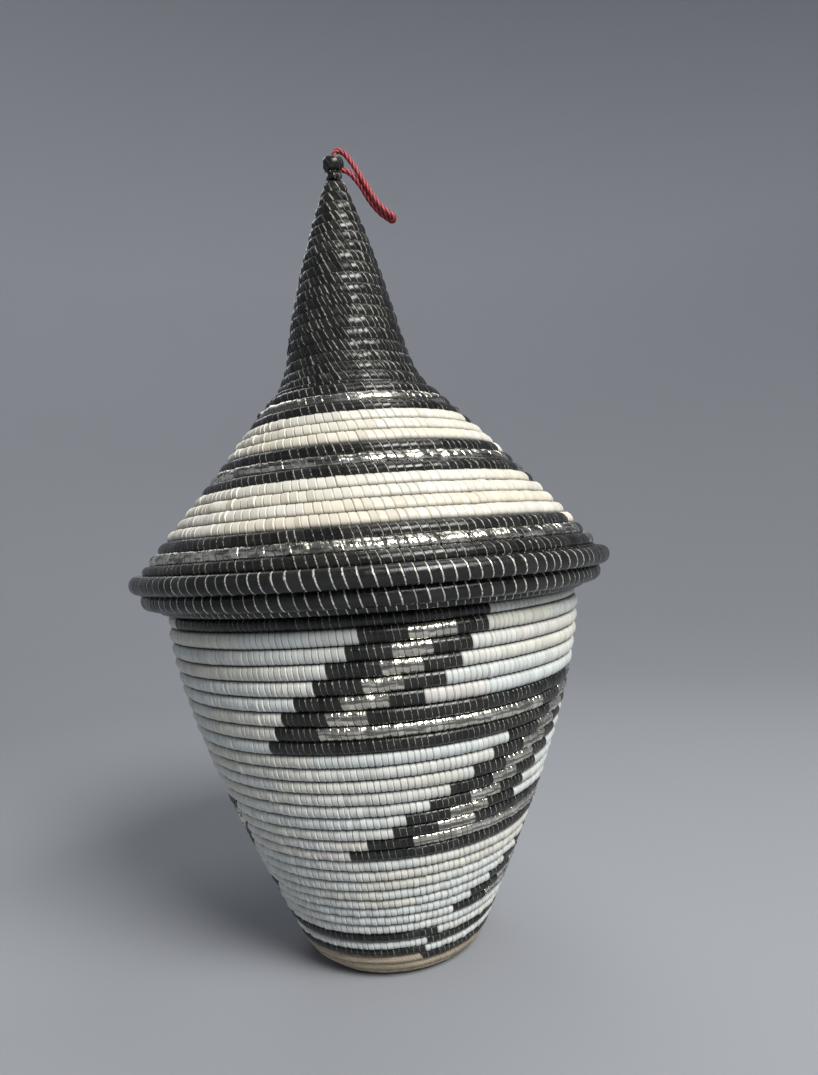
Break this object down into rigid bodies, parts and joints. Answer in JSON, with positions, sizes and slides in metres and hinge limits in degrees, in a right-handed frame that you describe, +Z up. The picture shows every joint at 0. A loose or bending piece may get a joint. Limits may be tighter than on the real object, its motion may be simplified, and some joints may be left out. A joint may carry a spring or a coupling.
{
  "type": "lidded basket",
  "caption": "Round coiled basket with a flared bowl and a loose cone-shaped lid that ends in a tall leaning spire with a cord loop.",
  "frame": {"origin": "middle of the flat underside, on the surface that the basket stands on", "axes": "+Z up along the basket's axis, -Y the front, +X to the right seen from the front; the spire leans towards -X"},
  "size_m": [0.2286, 0.2286, 0.3904],
  "materials": {
    "white_strip": "satin off-white strip",
    "black_strip": "glossy black strip",
    "silver_strip": "mirror-like metallized strip",
    "natural_fibre": "bare dry plant fibre",
    "red_cord": "twisted cord"
  },
  "bodies": {
    "basket": {"base_start_coils": "natural_fibre", "basket_wall": "white_strip"},
    "lid": {"lid_collar": "natural_fibre", "lid_neck_coil": "black_strip", "lid_under_coil": "black_strip", "lid_edge_coil": "black_strip", "lid_cone": "white_strip", "lid_spire": "black_strip", "lid_tip_coil": "black_strip", "hanging_loop": "red_cord"}
  },
  "joints": [
    {"name": "lid_lift", "type": "slide", "parent": "basket", "child": "lid", "axis": [0, 0, 1], "range_m": [0, 0.12]}
  ]
}
